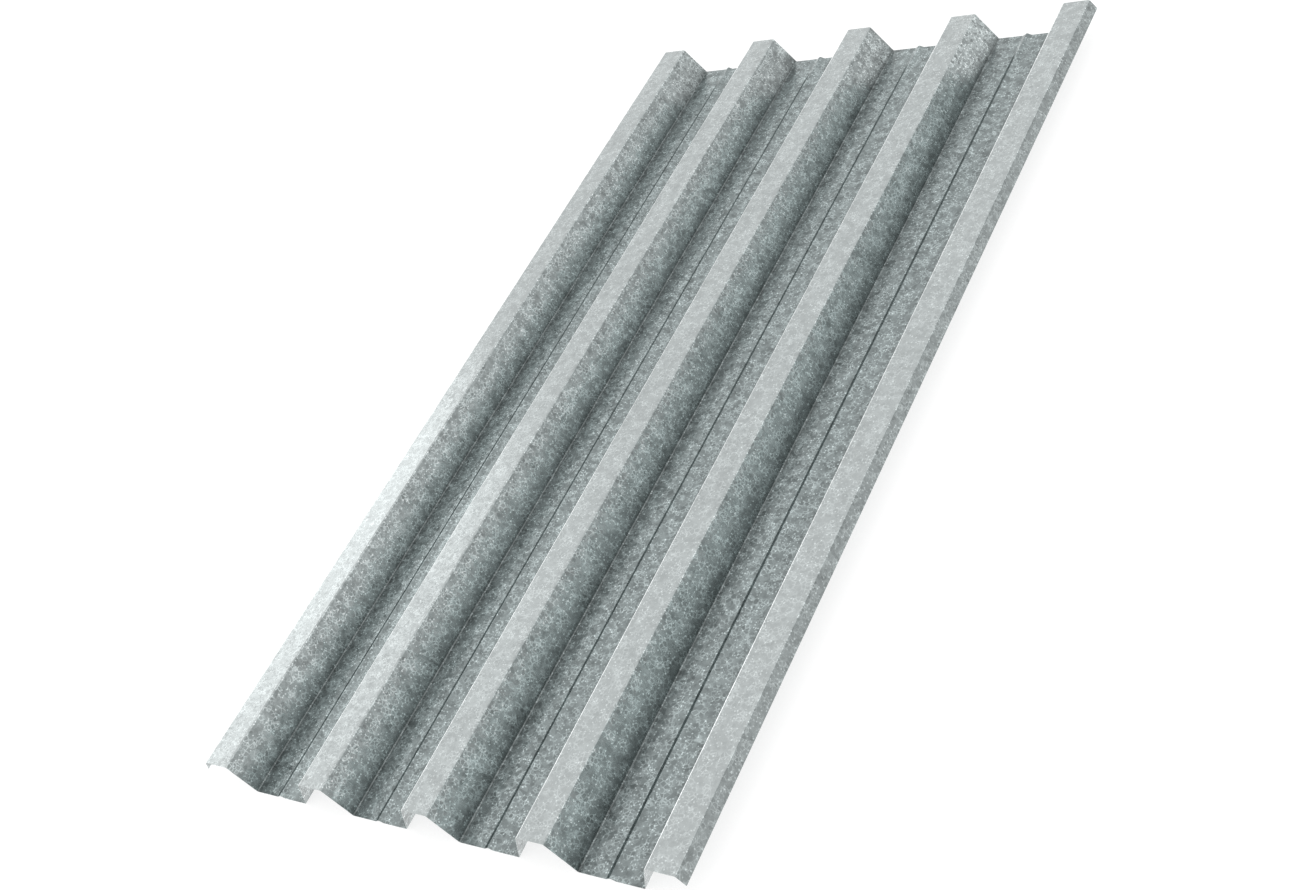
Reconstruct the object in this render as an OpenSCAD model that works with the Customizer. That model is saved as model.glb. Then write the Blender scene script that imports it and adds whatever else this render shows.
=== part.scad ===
// Trapezoidal corrugated steel sheet, roll-formed from one strip of galvanised steel.
// Ribs run along Y, +Z is up, and the pans rest on Z = 0 with the origin at the middle of the sheet.

/* [Sheet] */
// Length along the ribs
sheet_length = 1500; // [600:10:6000]
// Thickness of the steel with its zinc coat
steel_t = 0.7; // [0.4:0.05:1.2]

/* [Ribs] */
// Number of ribs across the sheet
rib_count = 5; // [2:1:8]
// Distance from one rib's centre to the next
rib_pitch = 180; // [160:1:250]
// Width of a rib's flat crest, between fold lines
crest_w = 40; // [30:1:50]
// Height of the crests above the pans
rib_depth = 50; // [30:1:60]
// How far a web leans out between its crest and its pan
web_run = 23.5; // [10:0.5:30]

/* [Pan bead] */
// Width of the stiffening bead where it leaves the pan
bead_w = 14; // [12:0.5:20]
// Width of the bead's flat top
bead_top_w = 2; // [1.5:0.5:7]
// Height of the bead above the pan
bead_h = 3.5; // [1:0.5:5]

/* [Side lips] */
// How far the lip beyond each outer crest is turned down
lip_drop = 16; // [8:1:24]

/* [Folds] */
// Inside radius where a web meets a crest or a pan
fold_r = 2; // [1:0.25:4]
// Inside radius of the bead's folds
bead_fold_r = 1.5; // [0.5:0.25:2]

/* [Hidden] */

// Every line of the section is drawn at mid thickness, and a fold is [x, z, radius].
half_t = steel_t / 2;
pan_z = half_t;
crest_z = rib_depth + half_t;
bead_z = bead_h + half_t;
lip_z = crest_z - lip_drop;
lip_run = web_run * lip_drop / rib_depth;
fold_mid_r = fold_r + half_t;
bead_mid_r = bead_fold_r + half_t;
fold_steps = 5;

function rib_x(i) = (i - (rib_count - 1) / 2) * rib_pitch;
function pan_x(i) = rib_x(i) + rib_pitch / 2;

function crest_folds(x) = [
    [x - crest_w / 2, crest_z, fold_mid_r],
    [x + crest_w / 2, crest_z, fold_mid_r],
];

function pan_folds(x) =
    let (pan_w = rib_pitch - crest_w - 2 * web_run)
    [
        [x - pan_w / 2, pan_z, fold_mid_r],
        [x - bead_w / 2, pan_z, bead_mid_r],
        [x - bead_top_w / 2, bead_z, bead_mid_r],
        [x + bead_top_w / 2, bead_z, bead_mid_r],
        [x + bead_w / 2, pan_z, bead_mid_r],
        [x + pan_w / 2, pan_z, fold_mid_r],
    ];

// The lips' free edges, which have no fold of their own
lip_x = rib_x(rib_count - 1) + crest_w / 2 + lip_run;

section = concat(
    [[-lip_x, lip_z, 0]],
    [for (i = [0:rib_count - 1]) each concat(
        crest_folds(rib_x(i)),
        i < rib_count - 1 ? pan_folds(pan_x(i)) : [])],
    [[lip_x, lip_z, 0]]);

function place(fold) = [fold.x, fold.y];
function unit(v) = v / norm(v);
function left_of(v) = [-v.y, v.x];
function turned(v, angle) = [
    v.x * cos(angle) - v.y * sin(angle),
    v.x * sin(angle) + v.y * cos(angle),
];
function direction(i) = unit(place(section[i + 1]) - place(section[i]));

// The arc that rounds fold i, on the line that runs side to the left of mid thickness
function fold_arc(i, side) =
    let (
        before = direction(i - 1),
        after = direction(i),
        turn = atan2(cross(before, after), before * after),
        bend = sign(turn) * section[i].z,
        start = place(section[i]) - before * abs(bend) * tan(abs(turn) / 2),
        centre = start + bend * left_of(before)
    )
    [for (k = [0:fold_steps])
        centre - (bend - side) * turned(left_of(before), turn * k / fold_steps)];

// One face of the steel, from the left lip's edge to the right lip's
function face_line(side) =
    let (last = len(section) - 1)
    concat(
        [place(section[0]) + side * left_of(direction(0))],
        [for (i = [1:last - 1]) each fold_arc(i, side)],
        [place(section[last]) + side * left_of(direction(last - 1))]);

function reversed(list) = [for (i = [len(list) - 1:-1:0]) list[i]];

module sheet() {
    color([0.66, 0.71, 0.71])
        rotate([90, 0, 0])
            linear_extrude(height = sheet_length, center = true)
                polygon(concat(face_line(half_t), reversed(face_line(-half_t))));
}

sheet();
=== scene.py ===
"""A galvanised trapezoidal steel sheet, with its floor, lights and camera."""

import math

import bmesh
import bpy
from bpy.props import FloatProperty, FloatVectorProperty, IntProperty, PointerProperty
from bpy.types import Operator, Panel, PropertyGroup
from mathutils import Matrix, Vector


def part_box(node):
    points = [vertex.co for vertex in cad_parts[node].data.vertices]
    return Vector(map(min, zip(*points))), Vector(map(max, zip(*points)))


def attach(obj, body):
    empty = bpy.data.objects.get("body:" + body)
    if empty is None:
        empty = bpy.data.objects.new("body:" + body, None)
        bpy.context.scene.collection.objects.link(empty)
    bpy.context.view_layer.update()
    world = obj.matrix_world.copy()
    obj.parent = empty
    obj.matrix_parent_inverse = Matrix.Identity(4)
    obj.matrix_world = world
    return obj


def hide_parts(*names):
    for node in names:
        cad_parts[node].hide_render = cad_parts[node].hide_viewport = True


bl_info = {
    "name": "Corrugated Steel Sheet",
    "version": (1, 0, 0),
    "blender": (4, 5, 0),
    "location": "3D View > Sidebar > Steel Sheet",
    "description": "Models a galvanised trapezoidal sheet, with floor, lights, camera",
    "category": "Add Mesh",
}

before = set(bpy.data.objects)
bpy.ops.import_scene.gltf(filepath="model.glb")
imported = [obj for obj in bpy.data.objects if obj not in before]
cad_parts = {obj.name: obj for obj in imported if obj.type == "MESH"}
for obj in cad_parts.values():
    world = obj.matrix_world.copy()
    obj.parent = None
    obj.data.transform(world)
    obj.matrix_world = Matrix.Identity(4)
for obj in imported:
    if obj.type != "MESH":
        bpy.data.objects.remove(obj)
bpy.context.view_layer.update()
SHEET_LOW, SHEET_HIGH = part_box("sheet")

MM = 0.001
STEEL_THICKNESS = 0.7 * MM

# How finely the mesh is divided: around each bend, and along the ribs.
WEB_BEND_SEGMENTS = 6
BEAD_BEND_SEGMENTS = 4
CUTS_ALONG_RIBS = 23
SMOOTH_ANGLE = math.radians(30)
# An edge runs along the ribs if this share of its length does.
LENGTHWISE_SHARE = 0.9
# The sheet's two materials, by their place in its list.
FACE_SLOT, CUT_EDGE_SLOT = 0, 1

# Where the zinc changes tone, past a crest's edge or past a rib's foot; the fold's and
# pans' darker tones are painted shade.
CREST_TONE_ENDS = -0.3 * MM
WEB_TONE_STARTS = 0.5 * MM
WEB_TONE_ENDS = -12 * MM
FOLD_TONE_ENDS = 8 * MM
PAN_TONE_STARTS = 26 * MM
# The painted shade in the crease along a rib's foot: how far it reaches,
# and its share of the tone there.
CREASE_SHADE_REACH = 2.5 * MM
CREASE_SHADE_TONE = 0.7
# The lips are darker than the webs, as painted shade, and their grain is calmer.
LIP_FADE = 1 * MM
LIP_SHADE = 0.36
LIP_CALMING = 0.6
# The painted highlight runs as a line this far inside a crest's left edge, full to the
# first distance from its middle and gone at the second.
HIGHLIGHT_LINE_INSET = 0.5 * MM
HIGHLIGHT_LINE_FULL, HIGHLIGHT_LINE_GONE = 0.5 * MM, 0.9 * MM
# The tone turns to the underside's where the surface faces this far up or down.
UNDERSIDE_TURN = 0.1

# Threads come in clusters: a cluster's width as a share of a patch's, and the noise
# levels between which its threads appear.
CLUSTER_WIDTH = 0.6
CLUSTER_FADE = (0.38, 0.62)
# The flakes' outlines bend by a share of a flake's width, in waves of a share of it.
BEND_REACH = 0.35
BEND_WAVE = 0.5
# A speck brightens from its rim to its core, and only the higher draws show.
SPECK_FADE = (0.5, 0.15)
SPECK_DRAWS = (0.5, 0.9)
# A thread grows to its full strength towards the line between two flakes.
THREAD_FADE = (0.16, 0.02)
# What each kind of grain adds to the tone, and their mean, which is taken off again.
SPECK_GRAIN = 0.85
THREAD_GRAIN = 0.46
FLAKE_GRAIN = 0.2
PATCH_GRAIN = 0.55
MEAN_GRAIN = 0.157
# Share of the grain that still shows on the crests.
CREST_GRAIN = 0.4
# How far roughness varies from flake to flake and from patch to patch.
FLAKE_ROUGHNESS = 0.08
PATCH_ROUGHNESS = 0.12
# How finely the patches, the clusters and the flakes' bends are broken up.
PATCH_DETAIL = 3.0
CLUSTER_DETAIL = 1.0
BEND_DETAIL = 2.0

# The cut edge: marks to the metre, how broken up and how dark they are, and its shine.
CUT_MARKS = 900.0
CUT_MARK_DETAIL = 3.0
CUT_MARK_TONE = 0.7
CUT_ROUGHNESS, CUT_ROUGHNESS_SPREAD = 0.45, 0.3
CUT_METALLIC = 0.9

# The floor lies this far below the sheet, so that the two never meet.
FLOOR_GAP = 0.2 * MM
# Its paint: dull, and a little more so in broad patches, this many to the metre.
FLOOR_PATCHES = 1.5
FLOOR_ROUGHNESS, FLOOR_ROUGHNESS_SPREAD = 0.8, 0.1
FLOOR_SPECULAR = 0.2
# The walls give way to the ceiling at this height, as the sine of the elevation.
WALL_TOP = 0.4
# The right wall turns into the left one between these places across the room.
WALL_TURN = (0.3, -0.5)
SOFTBOX_PLACE = (-4.5, 1.3, 2.5)
SOFTBOX_SIZE = (2.8, 1.8)
CAMERA_SENSOR_MM = 36
CAMERA_NEAR, CAMERA_FAR = 0.05, 100


# --------------------------------------------------------------- sizes and colours


class SheetShape(PropertyGroup):
    """Sizes of the rolled sheet"""

    length: FloatProperty(
        name="Length",
        description="Length along the ribs",
        default=SHEET_HIGH.y - SHEET_LOW.y,
        unit="LENGTH",
    )
    thickness: FloatProperty(
        name="Steel thickness",
        description="Thickness of the steel with its zinc coat",
        default=STEEL_THICKNESS,
        precision=5,
        unit="LENGTH",
    )
    rib_count: IntProperty(
        name="Ribs", description="Number of ribs across the sheet", default=5, min=2
    )
    rib_pitch: FloatProperty(
        name="Rib pitch",
        description="Distance from one rib's centre to the next",
        default=180 * MM,
        unit="LENGTH",
    )
    crest_width: FloatProperty(
        name="Crest width",
        description="Width of a rib's flat crest, between fold lines",
        default=40 * MM,
        unit="LENGTH",
    )
    rib_depth: FloatProperty(
        name="Rib depth",
        description="Height of the crests above the pans",
        default=SHEET_HIGH.z - SHEET_LOW.z - STEEL_THICKNESS,
        unit="LENGTH",
    )
    web_run: FloatProperty(
        name="Web run",
        description="How far a web leans out between its crest and its pan",
        default=23.5 * MM,
        unit="LENGTH",
    )
    bead_width: FloatProperty(
        name="Bead width",
        description="Width of the stiffening bead where it leaves the pan",
        default=14 * MM,
        unit="LENGTH",
    )
    bead_top_width: FloatProperty(
        name="Bead top width",
        description="Width of the bead's flat top",
        default=2 * MM,
        unit="LENGTH",
    )
    bead_height: FloatProperty(
        name="Bead height",
        description="Height of the bead above the pan",
        default=3.5 * MM,
        unit="LENGTH",
    )
    lip_drop: FloatProperty(
        name="Lip drop",
        description="How far the lip beyond each outer crest is turned down",
        default=16 * MM,
        unit="LENGTH",
    )
    fold_radius: FloatProperty(
        name="Fold radius",
        description="Inside radius where a web meets a crest or a pan",
        default=2 * MM,
        unit="LENGTH",
    )
    bead_fold_radius: FloatProperty(
        name="Bead fold radius",
        description="Inside radius of the bead's folds",
        default=1.5 * MM,
        unit="LENGTH",
    )


class ZincFinish(PropertyGroup):
    """Colour and grain of the galvanised coat, with painted shade and highlight colours
    """

    # The crests keep the zinc's plain tone; the fold's and pans' darker tones are
    # painted shade.
    crest_zinc: FloatVectorProperty(
        name="Crest zinc",
        description="Colour of the zinc on the crests, where it stays bright",
        default=(0.476, 0.51, 0.51),
        subtype="COLOR",
        min=0,
        max=1,
    )
    # Painted highlight: a bright line along each crest's left edge, where light catches
    # the bend.
    edge_highlight_zinc: FloatVectorProperty(
        name="Worn zinc",
        description="Colour of the zinc rubbed bright along each crest's left edge",
        default=(0.84, 0.86, 0.86),
        subtype="COLOR",
        min=0,
        max=1,
    )
    web_zinc: FloatVectorProperty(
        name="Web zinc",
        description="Colour of the zinc on the ribs' sloping sides",
        default=(0.492, 0.54, 0.54),
        subtype="COLOR",
        min=0,
        max=1,
    )
    # Painted shade: the dark tone in the fold at a rib's foot.
    fold_shade_zinc: FloatVectorProperty(
        name="Fold zinc",
        description="Colour of the duller zinc in the fold at a rib's foot",
        default=(0.243, 0.272, 0.273),
        subtype="COLOR",
        min=0,
        max=1,
    )
    # Painted shade: the pans' darker tone, as if the ribs shaded them.
    pan_shade_zinc: FloatVectorProperty(
        name="Pan zinc",
        description="Colour of the zinc on the pans",
        default=(0.295, 0.335, 0.336),
        subtype="COLOR",
        min=0,
        max=1,
    )
    cut_steel: FloatVectorProperty(
        name="Cut steel",
        description="Colour of the bare steel where the sheet was cut",
        default=(0.30, 0.30, 0.30),
        subtype="COLOR",
        min=0,
        max=1,
    )
    speck_size: FloatProperty(
        name="Speck size",
        description="Width of the fine light specks",
        default=3.2 * MM,
        unit="LENGTH",
    )
    flake_size: FloatProperty(
        name="Flake size",
        description="Width of a zinc flake, ringed with a light thread",
        default=5.6 * MM,
        unit="LENGTH",
    )
    patch_size: FloatProperty(
        name="Patch size",
        description="Width of the cloudy patches in the coat",
        default=20 * MM,
        unit="LENGTH",
    )
    grain_contrast: FloatProperty(
        name="Grain contrast",
        description="How far the specks, threads and patches stand out",
        default=1.35,
        min=0,
        max=3,
    )
    flake_tilt: FloatProperty(
        name="Flake tilt",
        description="How far each flake's shine leans away from the surface",
        default=0.04,
        min=0,
        max=1,
    )
    roughness: FloatProperty(
        name="Roughness",
        description="Roughness of the zinc",
        default=0.21,
        min=0,
        max=1,
    )


class Studio(PropertyGroup):
    """Floor, lights and camera"""

    floor_colour: FloatVectorProperty(
        name="Floor colour",
        description="Colour of the pale floor",
        default=(0.35, 0.35, 0.35),
        subtype="COLOR",
        min=0,
        max=1,
    )
    floor_glow: FloatProperty(
        name="Floor glow",
        description="Light of the floor's own, as of a table lit from below",
        default=0.75,
        min=0,
    )
    floor_size: FloatProperty(
        name="Floor size",
        description="Width of the floor",
        default=40,
        unit="LENGTH",
    )
    room_light: FloatProperty(
        name="Room light",
        description="Strength of the even light from the pale room",
        default=1.05,
        min=0,
    )
    left_wall: FloatProperty(
        name="Left wall",
        description="Brightness of the room's left wall, as a share of the ceiling's",
        default=1.5,
        min=0,
    )
    right_wall: FloatProperty(
        name="Right wall",
        description="Brightness of the room's right wall, as a share of the ceiling's",
        default=0.55,
        min=0,
    )
    side_light_power: FloatProperty(
        name="Side light",
        description="Power of the softbox high on the left",
        default=15,
        unit="POWER",
    )
    lens: FloatProperty(
        name="Lens", description="Focal length of the camera", default=48.7, min=1
    )
    camera_place: FloatVectorProperty(
        name="Camera place",
        description="Where the camera stands",
        default=(1.4274, -1.4114, 1.5361),
        subtype="TRANSLATION",
        unit="LENGTH",
    )
    camera_turn: FloatVectorProperty(
        name="Camera turn",
        description="How the camera is turned, about X, Y and Z in that order",
        default=[math.radians(turn) for turn in (48.799, 27.441, 31.040)],
        subtype="EULER",
        unit="ROTATION",
    )
    camera_shift: FloatVectorProperty(
        name="Camera shift",
        description="How far the picture is shifted, as a share of its width",
        default=(0.1207, 0.0012),
        size=2,
    )


# --------------------------------------------------------------- modelling helpers


def start_piece(name, add, **where):
    """Adds a primitive with nothing else selected, and names it."""
    if bpy.context.mode != "OBJECT":
        bpy.ops.object.mode_set(mode="OBJECT")
    bpy.ops.object.select_all(action="DESELECT")
    add(**where)
    piece = bpy.context.object
    piece.name = piece.data.name = name
    return piece


def select_edges(piece, wanted):
    """In edit mode, selects only the edges for which wanted(edge) holds."""
    bpy.ops.mesh.select_mode(type="EDGE")
    bpy.ops.mesh.select_all(action="DESELECT")
    mesh = bmesh.from_edit_mesh(piece.data)
    chosen = [edge for edge in mesh.edges if wanted(edge)]
    if not chosen:
        raise RuntimeError(f"no edge to select on {piece.name}")
    for edge in chosen:
        edge.select_set(True)
    bmesh.update_edit_mesh(piece.data)


def runs_lengthwise(edge):
    """Whether an edge runs along the ribs."""
    along = edge.verts[1].co - edge.verts[0].co
    return abs(along.y) > LENGTHWISE_SHARE * along.length


def apply_modifier(piece, kind, **settings):
    """Gives the piece a modifier with these settings and applies it."""
    modifier = piece.modifiers.new(kind.title(), kind)
    for name, value in settings.items():
        setattr(modifier, name, value)
    bpy.context.view_layer.objects.active = piece
    bpy.ops.object.modifier_apply(modifier=modifier.name)


# --------------------------------------------------------------- the sheet


def first_rib(shape):
    """Where the leftmost rib's middle lies across the sheet."""
    return -shape.rib_pitch * (shape.rib_count - 1) / 2


def folds_between_crests(shape):
    """Steps across and up from one crest's right edge to the next one's."""
    pan = shape.rib_pitch - shape.crest_width - 2 * shape.web_run
    flat = (pan - shape.bead_width) / 2
    flank = (shape.bead_width - shape.bead_top_width) / 2
    return [
        (shape.web_run, -shape.rib_depth),
        (flat, 0),
        (flank, shape.bead_height),
        (shape.bead_top_width, 0),
        (flank, -shape.bead_height),
        (flat, 0),
        (shape.web_run, shape.rib_depth),
        (shape.crest_width, 0),
    ]


def roll_profile(piece, shape):
    """Extrudes the first crest's edges across the sheet, one fold after another."""
    half_crest = shape.crest_width / 2
    first = first_rib(shape)
    lip = (shape.web_run * shape.lip_drop / shape.rib_depth, -shape.lip_drop)
    steps = folds_between_crests(shape) * (shape.rib_count - 1) + [lip]
    bpy.ops.object.mode_set(mode="EDIT")
    select_edges(
        piece, lambda e: runs_lengthwise(e) and e.verts[0].co.x > first + half_crest / 2
    )
    for across, up in steps:
        bpy.ops.mesh.extrude_region_move(
            TRANSFORM_OT_translate={"value": (across, 0, up)}
        )
    select_edges(
        piece, lambda e: runs_lengthwise(e) and e.verts[0].co.x < first - half_crest / 2
    )
    bpy.ops.mesh.extrude_region_move(
        TRANSFORM_OT_translate={"value": (-lip[0], 0, lip[1])}
    )


def round_folds(piece, shape):
    """Rounds every fold at mid thickness, the beads' folds less than the webs'."""
    half_steel = shape.thickness / 2
    web_turn = math.atan2(shape.rib_depth, shape.web_run)
    flank = (shape.bead_width - shape.bead_top_width) / 2
    bead_turn = math.atan2(shape.bead_height, flank)

    def pan_offset(edge):
        """Distance from the middle of the nearest pan."""
        from_pan = edge.verts[0].co.x / shape.rib_pitch
        if shape.rib_count % 2:
            from_pan -= 0.5
        return abs(from_pan - round(from_pan)) * shape.rib_pitch

    def on_bead(edge):
        low = edge.verts[0].co.z < shape.rib_depth / 2
        return low and pan_offset(edge) < shape.bead_width

    for bead, turn, radius, segments in (
        (False, web_turn, shape.fold_radius, WEB_BEND_SEGMENTS),
        (True, bead_turn, shape.bead_fold_radius, BEAD_BEND_SEGMENTS),
    ):
        select_edges(
            piece,
            lambda e: runs_lengthwise(e)
            and len(e.link_faces) == 2
            and on_bead(e) == bead,
        )
        bpy.ops.mesh.bevel(
            offset_type="OFFSET",
            offset=(radius + half_steel) * math.tan(turn / 2),
            segments=segments,
            profile=0.5,
            affect="EDGES",
        )


def model_sheet(shape):
    """The whole sheet as one rolled strip, finished to its real thickness."""
    crest_level = shape.rib_depth + shape.thickness / 2
    piece = start_piece(
        "zinc_sheet",
        bpy.ops.mesh.primitive_plane_add,
        size=1,
        location=(first_rib(shape), 0, crest_level),
    )
    bpy.ops.transform.resize(value=(shape.crest_width, shape.length, 1))
    bpy.ops.object.transform_apply(location=True, rotation=True, scale=True)
    roll_profile(piece, shape)
    round_folds(piece, shape)
    select_edges(piece, runs_lengthwise)
    bpy.ops.mesh.subdivide(number_cuts=CUTS_ALONG_RIBS)
    bpy.ops.mesh.select_all(action="SELECT")
    bpy.ops.mesh.normals_make_consistent(inside=False)
    bpy.ops.object.mode_set(mode="OBJECT")
    apply_modifier(
        piece,
        "SOLIDIFY",
        thickness=shape.thickness,
        offset=0,
        use_even_offset=True,
        use_quality_normals=True,
        material_offset_rim=CUT_EDGE_SLOT - FACE_SLOT,
    )
    bpy.ops.object.mode_set(mode="EDIT")
    bpy.ops.mesh.select_all(action="SELECT")
    bpy.ops.mesh.normals_make_consistent(inside=False)
    bpy.ops.object.mode_set(mode="OBJECT")
    bpy.ops.object.shade_smooth_by_angle(angle=SMOOTH_ANGLE)
    apply_modifier(piece, "WEIGHTED_NORMAL", keep_sharp=True, weight=100)
    return piece


# --------------------------------------------------------------- finishes


def new_finish(name):
    """A material, its nodes and its shader's sockets."""
    material = bpy.data.materials.new(name)
    material.use_nodes = True
    nodes = NodeTree(material.node_tree)
    return material, nodes, material.node_tree.nodes["Principled BSDF"].inputs


class NodeTree:
    """Nodes added to a tree and joined by name."""

    def __init__(self, tree):
        self.tree = tree

    def add(self, kind, inputs=None, **settings):
        node = self.tree.nodes.new(kind)
        for name, value in settings.items():
            setattr(node, name, value)
        for socket, value in (inputs or {}).items():
            self.join(value, node.inputs[socket])
        return node

    def join(self, value, socket):
        if isinstance(value, bpy.types.NodeSocket):
            self.tree.links.new(value, socket)
        else:
            socket.default_value = value

    def maths(self, operation, *values):
        inputs = dict(enumerate(values))
        return self.add("ShaderNodeMath", inputs, operation=operation).outputs[0]

    def vector(self, operation, *values, scale=None):
        node = self.add(
            "ShaderNodeVectorMath", dict(enumerate(values)), operation=operation
        )
        if scale is not None:
            self.join(scale, node.inputs["Scale"])
        return node.outputs[0]

    def fade(self, value, low, high):
        """0 at low and 1 at high, with a soft start and end."""
        inputs = {"Value": value, "From Min": low, "From Max": high}
        node = self.add(
            "ShaderNodeMapRange", inputs, interpolation_type="SMOOTHSTEP", clamp=True
        )
        return node.outputs["Result"]

    def blend(self, start, colour, share):
        """A colour that goes from start to the given one as share goes from 0 to 1."""
        change = self.vector("SUBTRACT", tuple(colour), start)
        return self.vector("ADD", start, self.vector("SCALE", change, scale=share))

    def around(self, value, spread):
        """value runs from 0 to 1: shifts it to run from -spread/2 to +spread/2."""
        centred = self.maths("SUBTRACT", value, 0.5)
        return self.maths("MULTIPLY", centred, spread)


def zinc_tones(nodes, place, finish, shape):
    """The zinc's colour from crest to pan, with painted shade and a painted highlight,
    and how fully its grain shows (0 to 1).
    """
    half_pitch = shape.rib_pitch / 2
    half_crest = shape.crest_width / 2
    foot = half_crest + shape.web_run
    first = first_rib(shape)
    across = nodes.add("ShaderNodeSeparateXYZ", {0: place}).outputs["X"]
    beyond = nodes.maths("SUBTRACT", across, first)
    from_rib = nodes.maths("PINGPONG", beyond, half_pitch)
    ramp = nodes.add(
        "ShaderNodeValToRGB", {"Fac": nodes.maths("DIVIDE", from_rib, half_pitch)}
    )
    crest_end = half_crest + CREST_TONE_ENDS
    web_start = half_crest + WEB_TONE_STARTS
    # The fold and pan stops carry painted shade.
    stops = (
        (crest_end, finish.crest_zinc),
        (web_start, finish.web_zinc),
        (foot + WEB_TONE_ENDS, finish.web_zinc),
        (foot, finish.fold_shade_zinc),
        (foot + FOLD_TONE_ENDS, finish.fold_shade_zinc),
        (foot + PAN_TONE_STARTS, finish.pan_shade_zinc),
    )
    knots = ramp.color_ramp.elements
    while len(knots) < len(stops):
        knots.new(0.5)
    for knot, (distance, colour) in zip(knots, stops):
        knot.position = distance / half_pitch
        knot.color = (*colour, 1)
    off_crest = nodes.fade(from_rib, crest_end, web_start)
    outer = half_crest - first
    on_lip = nodes.fade(nodes.maths("ABSOLUTE", across), outer, outer + LIP_FADE)

    # Painted shade in the crease along each rib's foot.
    into_fold = nodes.maths("ABSOLUTE", nodes.maths("SUBTRACT", from_rib, foot))
    shade = nodes.fade(into_fold, 0.0, CREASE_SHADE_REACH)
    shade = nodes.maths("MULTIPLY_ADD", shade, 1 - CREASE_SHADE_TONE, CREASE_SHADE_TONE)
    # Painted shade on the lips.
    lip_shade = nodes.maths("MULTIPLY", on_lip, LIP_SHADE)
    shade = nodes.maths("SUBTRACT", shade, lip_shade)
    zinc = nodes.vector("SCALE", ramp.outputs["Color"], scale=shade)

    # A painted highlight along each crest's left edge.
    side = nodes.maths("WRAP", beyond, half_pitch, -half_pitch)
    from_line = nodes.maths("ADD", side, half_crest - HIGHLIGHT_LINE_INSET)
    from_line = nodes.maths("ABSOLUTE", from_line)
    highlight = nodes.fade(from_line, HIGHLIGHT_LINE_GONE, HIGHLIGHT_LINE_FULL)
    zinc = nodes.blend(zinc, finish.edge_highlight_zinc, highlight)

    facing = nodes.add("ShaderNodeNewGeometry").outputs["Normal"]
    upward = nodes.add("ShaderNodeSeparateXYZ", {0: facing}).outputs["Z"]
    underneath = nodes.fade(upward, UNDERSIDE_TURN, -UNDERSIDE_TURN)
    zinc = nodes.blend(zinc, finish.crest_zinc, underneath)

    calmed = nodes.maths("MULTIPLY", on_lip, LIP_CALMING)
    return zinc, nodes.maths("SUBTRACT", off_crest, calmed)


def make_zinc(finish, shape):
    """Hot-dip zinc: specks and threaded flakes that each lean a little, in patches,
    over tones that hold painted shade and a painted highlight.
    """
    material, nodes, shader = new_finish("galvanised_zinc")
    place = nodes.add("ShaderNodeTexCoord").outputs["Object"]
    tone, graininess = zinc_tones(nodes, place, finish, shape)

    def noise(width, detail):
        inputs = {"Vector": place, "Scale": 1 / width, "Detail": detail}
        return nodes.add("ShaderNodeTexNoise", inputs).outputs

    def cells(width, vector, feature="F1"):
        inputs = {"Vector": vector, "Scale": 1 / width}
        return nodes.add("ShaderNodeTexVoronoi", inputs, feature=feature).outputs

    def centred(draw):
        return nodes.vector("SUBTRACT", draw, (0.5, 0.5, 0.5))

    patches = noise(finish.patch_size, PATCH_DETAIL)["Fac"]
    clusters = noise(finish.patch_size * CLUSTER_WIDTH, CLUSTER_DETAIL)["Fac"]
    bend = centred(noise(finish.flake_size * BEND_WAVE, BEND_DETAIL)["Color"])
    bend = nodes.vector("SCALE", bend, scale=finish.flake_size * BEND_REACH)
    bent = nodes.vector("ADD", place, bend)

    specks = cells(finish.speck_size, bent)
    flakes = cells(finish.flake_size, bent)
    rims = cells(finish.flake_size, bent, "DISTANCE_TO_EDGE")["Distance"]
    speck_draw = nodes.add("ShaderNodeSeparateColor", {0: specks["Color"]}).outputs
    flake_draw = nodes.add("ShaderNodeSeparateColor", {0: flakes["Color"]}).outputs

    speck = nodes.fade(specks["Distance"], *SPECK_FADE)
    speck = nodes.maths("MULTIPLY", speck, nodes.fade(speck_draw[0], *SPECK_DRAWS))
    thread = nodes.fade(rims, *THREAD_FADE)
    thread = nodes.maths("MULTIPLY", thread, nodes.fade(clusters, *CLUSTER_FADE))
    grain = nodes.maths("MULTIPLY", speck, SPECK_GRAIN)
    grain = nodes.maths("ADD", grain, nodes.maths("MULTIPLY", thread, THREAD_GRAIN))
    grain = nodes.maths("ADD", grain, nodes.around(flake_draw[0], FLAKE_GRAIN))
    grain = nodes.maths("ADD", grain, nodes.around(patches, PATCH_GRAIN))
    grain = nodes.maths("SUBTRACT", grain, MEAN_GRAIN)
    strength = nodes.maths("MULTIPLY_ADD", graininess, 1 - CREST_GRAIN, CREST_GRAIN)
    strength = nodes.maths("MULTIPLY", strength, finish.grain_contrast)
    lightness = nodes.maths("MULTIPLY_ADD", grain, strength, 1.0)
    colour = nodes.vector("SCALE", tone, scale=lightness)

    uneven = nodes.around(flake_draw[1], FLAKE_ROUGHNESS)
    rough = nodes.maths("ADD", finish.roughness, uneven)
    rough = nodes.maths("ADD", rough, nodes.around(patches, PATCH_ROUGHNESS))

    normal = nodes.add("ShaderNodeNewGeometry").outputs["Normal"]
    for draw in (flakes["Color"], specks["Color"]):
        lean = nodes.vector("SCALE", centred(draw), scale=finish.flake_tilt)
        normal = nodes.vector("ADD", normal, lean)
    normal = nodes.vector("NORMALIZE", normal)

    nodes.join(colour, shader["Base Color"])
    nodes.join(rough, shader["Roughness"])
    nodes.join(normal, shader["Normal"])
    shader["Metallic"].default_value = 1.0
    return material


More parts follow.
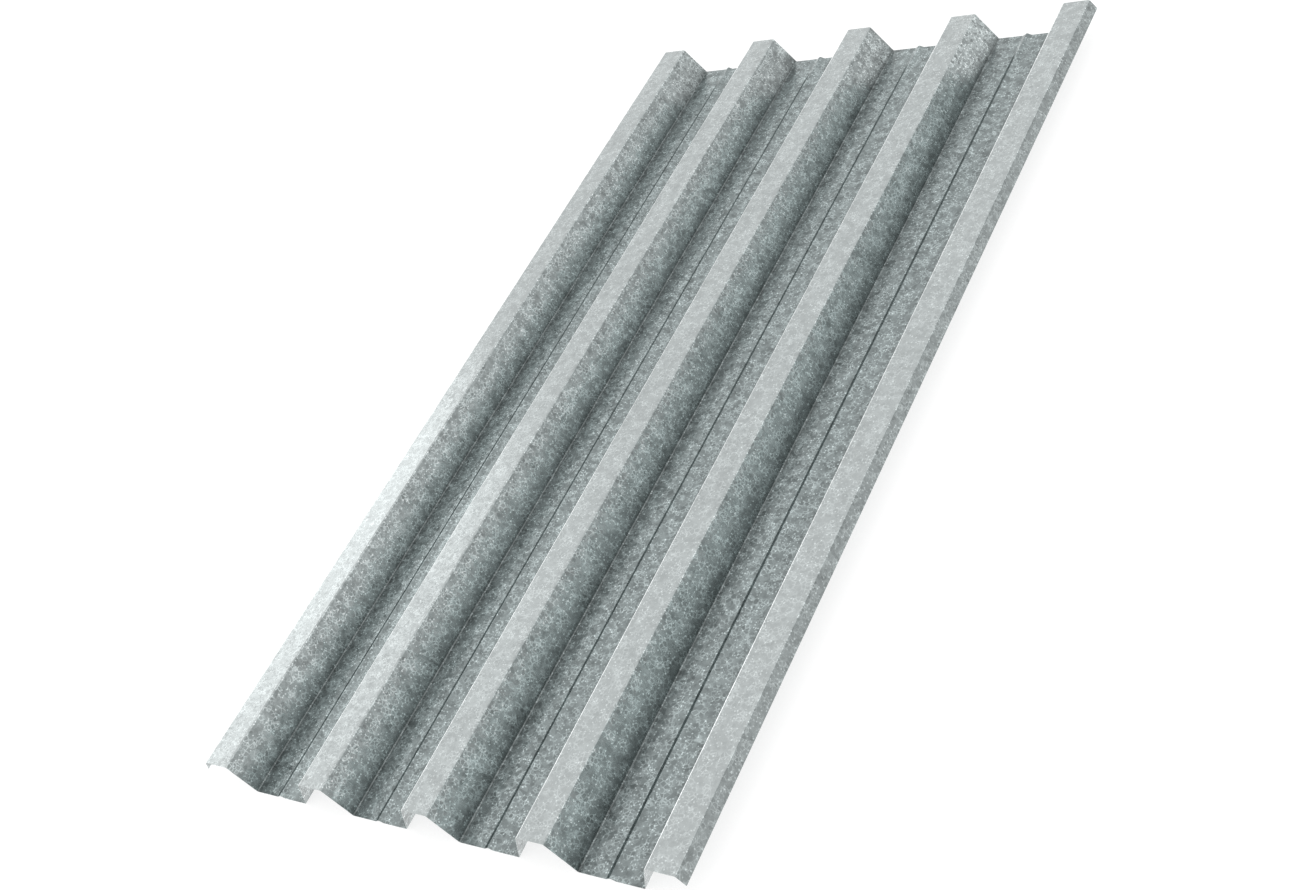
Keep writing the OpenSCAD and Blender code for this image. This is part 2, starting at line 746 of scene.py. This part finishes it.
def make_cut_steel(finish):
    """The bare edge that a shear leaves, with fine marks across it."""
    material, nodes, shader = new_finish("cut_steel")
    place = nodes.add("ShaderNodeTexCoord").outputs["Object"]
    inputs = {"Vector": place, "Scale": CUT_MARKS, "Detail": CUT_MARK_DETAIL}
    marks = nodes.add("ShaderNodeTexNoise", inputs).outputs["Fac"]
    ramp = nodes.add("ShaderNodeValToRGB", {"Fac": marks})
    shade = [channel * CUT_MARK_TONE for channel in finish.cut_steel]
    ramp.color_ramp.elements[0].color = (*shade, 1)
    ramp.color_ramp.elements[1].color = (*finish.cut_steel, 1)
    nodes.join(ramp.outputs["Color"], shader["Base Color"])
    uneven = nodes.around(marks, CUT_ROUGHNESS_SPREAD)
    nodes.join(nodes.maths("ADD", CUT_ROUGHNESS, uneven), shader["Roughness"])
    shader["Metallic"].default_value = CUT_METALLIC
    return material


def make_floor_paint(studio):
    """Plain pale floor paint with a trace of unevenness."""
    material, nodes, shader = new_finish("floor_paint")
    place = nodes.add("ShaderNodeTexCoord").outputs["Object"]
    inputs = {"Vector": place, "Scale": FLOOR_PATCHES}
    patches = nodes.add("ShaderNodeTexNoise", inputs).outputs["Fac"]
    uneven = nodes.around(patches, FLOOR_ROUGHNESS_SPREAD)
    nodes.join(nodes.maths("ADD", FLOOR_ROUGHNESS, uneven), shader["Roughness"])
    shader["Base Color"].default_value = (*studio.floor_colour, 1)
    shader["Emission Color"].default_value = (1, 1, 1, 1)
    shader["Emission Strength"].default_value = studio.floor_glow
    shader["Specular IOR Level"].default_value = FLOOR_SPECULAR
    return material


# --------------------------------------------------------------- operators


class SHEETMETAL_OT_sheet(Operator):
    """Model the rolled sheet and give it its zinc finish"""

    bl_idname = "sheetmetal.sheet"
    bl_label = "Sheet"
    bl_options = {"REGISTER", "UNDO"}

    def execute(self, context):
        shape = context.scene.sheet_shape
        finish = context.scene.zinc_finish
        piece = model_sheet(shape)
        piece.data.materials.clear()
        piece.data.materials.append(make_zinc(finish, shape))
        piece.data.materials.append(make_cut_steel(finish))
        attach(piece, "root")
        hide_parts("sheet")
        return {"FINISHED"}


class SHEETMETAL_OT_stage(Operator):
    """Lay the pale floor, light the room and set up the camera"""

    bl_idname = "sheetmetal.stage"
    bl_label = "Floor, Lights and Camera"
    bl_options = {"REGISTER", "UNDO"}

    def execute(self, context):
        studio = context.scene.studio
        lay_floor(studio)
        light_room(context, studio)
        hang_softbox(context, studio)
        set_camera(context, studio)
        return {"FINISHED"}


def lay_floor(studio):
    """The floor, level and just under the sheet."""
    floor = start_piece(
        "floor",
        bpy.ops.mesh.primitive_plane_add,
        size=studio.floor_size,
        location=(0, 0, SHEET_LOW.z - FLOOR_GAP),
    )
    bpy.ops.object.transform_apply(location=True, rotation=True, scale=True)
    floor.data.materials.append(make_floor_paint(studio))


def hang_softbox(context, studio):
    """A softbox high on the left, which faces the middle of the sheet."""
    data = bpy.data.lights.new("side_softbox", "AREA")
    data.shape = "RECTANGLE"
    data.size, data.size_y = SOFTBOX_SIZE
    data.energy = studio.side_light_power
    box = bpy.data.objects.new("side_softbox", data)
    context.scene.collection.objects.link(box)
    box.visible_camera = False
    box.location = SOFTBOX_PLACE
    towards_sheet = -Vector(SOFTBOX_PLACE)
    box.rotation_euler = towards_sheet.to_track_quat("-Z", "Y").to_euler()


def light_room(context, studio):
    """Even light from pale walls and ceiling, with its own strength on each side."""
    world = bpy.data.worlds.new("room")
    world.use_nodes = True
    nodes = NodeTree(world.node_tree)
    direction = nodes.add("ShaderNodeTexCoord").outputs["Generated"]
    axes = nodes.add("ShaderNodeSeparateXYZ", {0: direction}).outputs
    leftward = nodes.fade(axes["X"], *WALL_TURN)
    spread = studio.left_wall - studio.right_wall
    wall = nodes.maths("MULTIPLY_ADD", leftward, spread, studio.right_wall)
    ceiling = nodes.maths("SUBTRACT", 1.0, wall)
    upward = nodes.fade(axes["Z"], 0.0, WALL_TOP)
    light = nodes.maths("MULTIPLY_ADD", ceiling, upward, wall)
    light = nodes.maths("MULTIPLY", light, studio.room_light)
    sky = world.node_tree.nodes["Background"]
    sky.inputs["Color"].default_value = (1, 1, 1, 1)
    nodes.join(light, sky.inputs["Strength"])
    context.scene.world = world
    context.scene.view_settings.view_transform = "Standard"


def set_camera(context, studio):
    """The camera, above the sheet's near right corner."""
    data = bpy.data.cameras.new("camera")
    data.lens = studio.lens
    data.sensor_width = CAMERA_SENSOR_MM
    data.sensor_fit = "HORIZONTAL"
    data.shift_x, data.shift_y = studio.camera_shift
    data.clip_start, data.clip_end = CAMERA_NEAR, CAMERA_FAR
    camera = bpy.data.objects.new("camera", data)
    camera.location = studio.camera_place
    camera.rotation_euler = studio.camera_turn
    context.scene.collection.objects.link(camera)
    context.scene.camera = camera


class SHEETMETAL_PT_panel(Panel):
    """Sizes, finishes and steps of the sheet"""

    bl_idname = "SHEETMETAL_PT_panel"
    bl_label = "Steel Sheet"
    bl_space_type = "VIEW_3D"
    bl_region_type = "UI"
    bl_category = "Steel Sheet"

    def draw(self, context):
        scene = context.scene
        for title, group in (
            ("Shape", scene.sheet_shape),
            ("Zinc", scene.zinc_finish),
            ("Studio", scene.studio),
        ):
            box = self.layout.box()
            box.label(text=title)
            for name in group.__annotations__:
                box.prop(group, name)
        for operator in STEPS:
            self.layout.operator(operator.bl_idname)


# --------------------------------------------------------------- registering, running

GROUPS = {"sheet_shape": SheetShape, "zinc_finish": ZincFinish, "studio": Studio}
STEPS = (SHEETMETAL_OT_sheet, SHEETMETAL_OT_stage)
CLASSES = (*GROUPS.values(), *STEPS, SHEETMETAL_PT_panel)


def register():
    for cls in CLASSES:
        bpy.utils.register_class(cls)
    for name, group in GROUPS.items():
        setattr(bpy.types.Scene, name, PointerProperty(type=group))


def unregister():
    for name in GROUPS:
        delattr(bpy.types.Scene, name)
    for cls in reversed(CLASSES):
        bpy.utils.unregister_class(cls)


def main():
    register()
    bpy.ops.sheetmetal.sheet()
    bpy.ops.sheetmetal.stage()


if __name__ == "__main__":
    main()
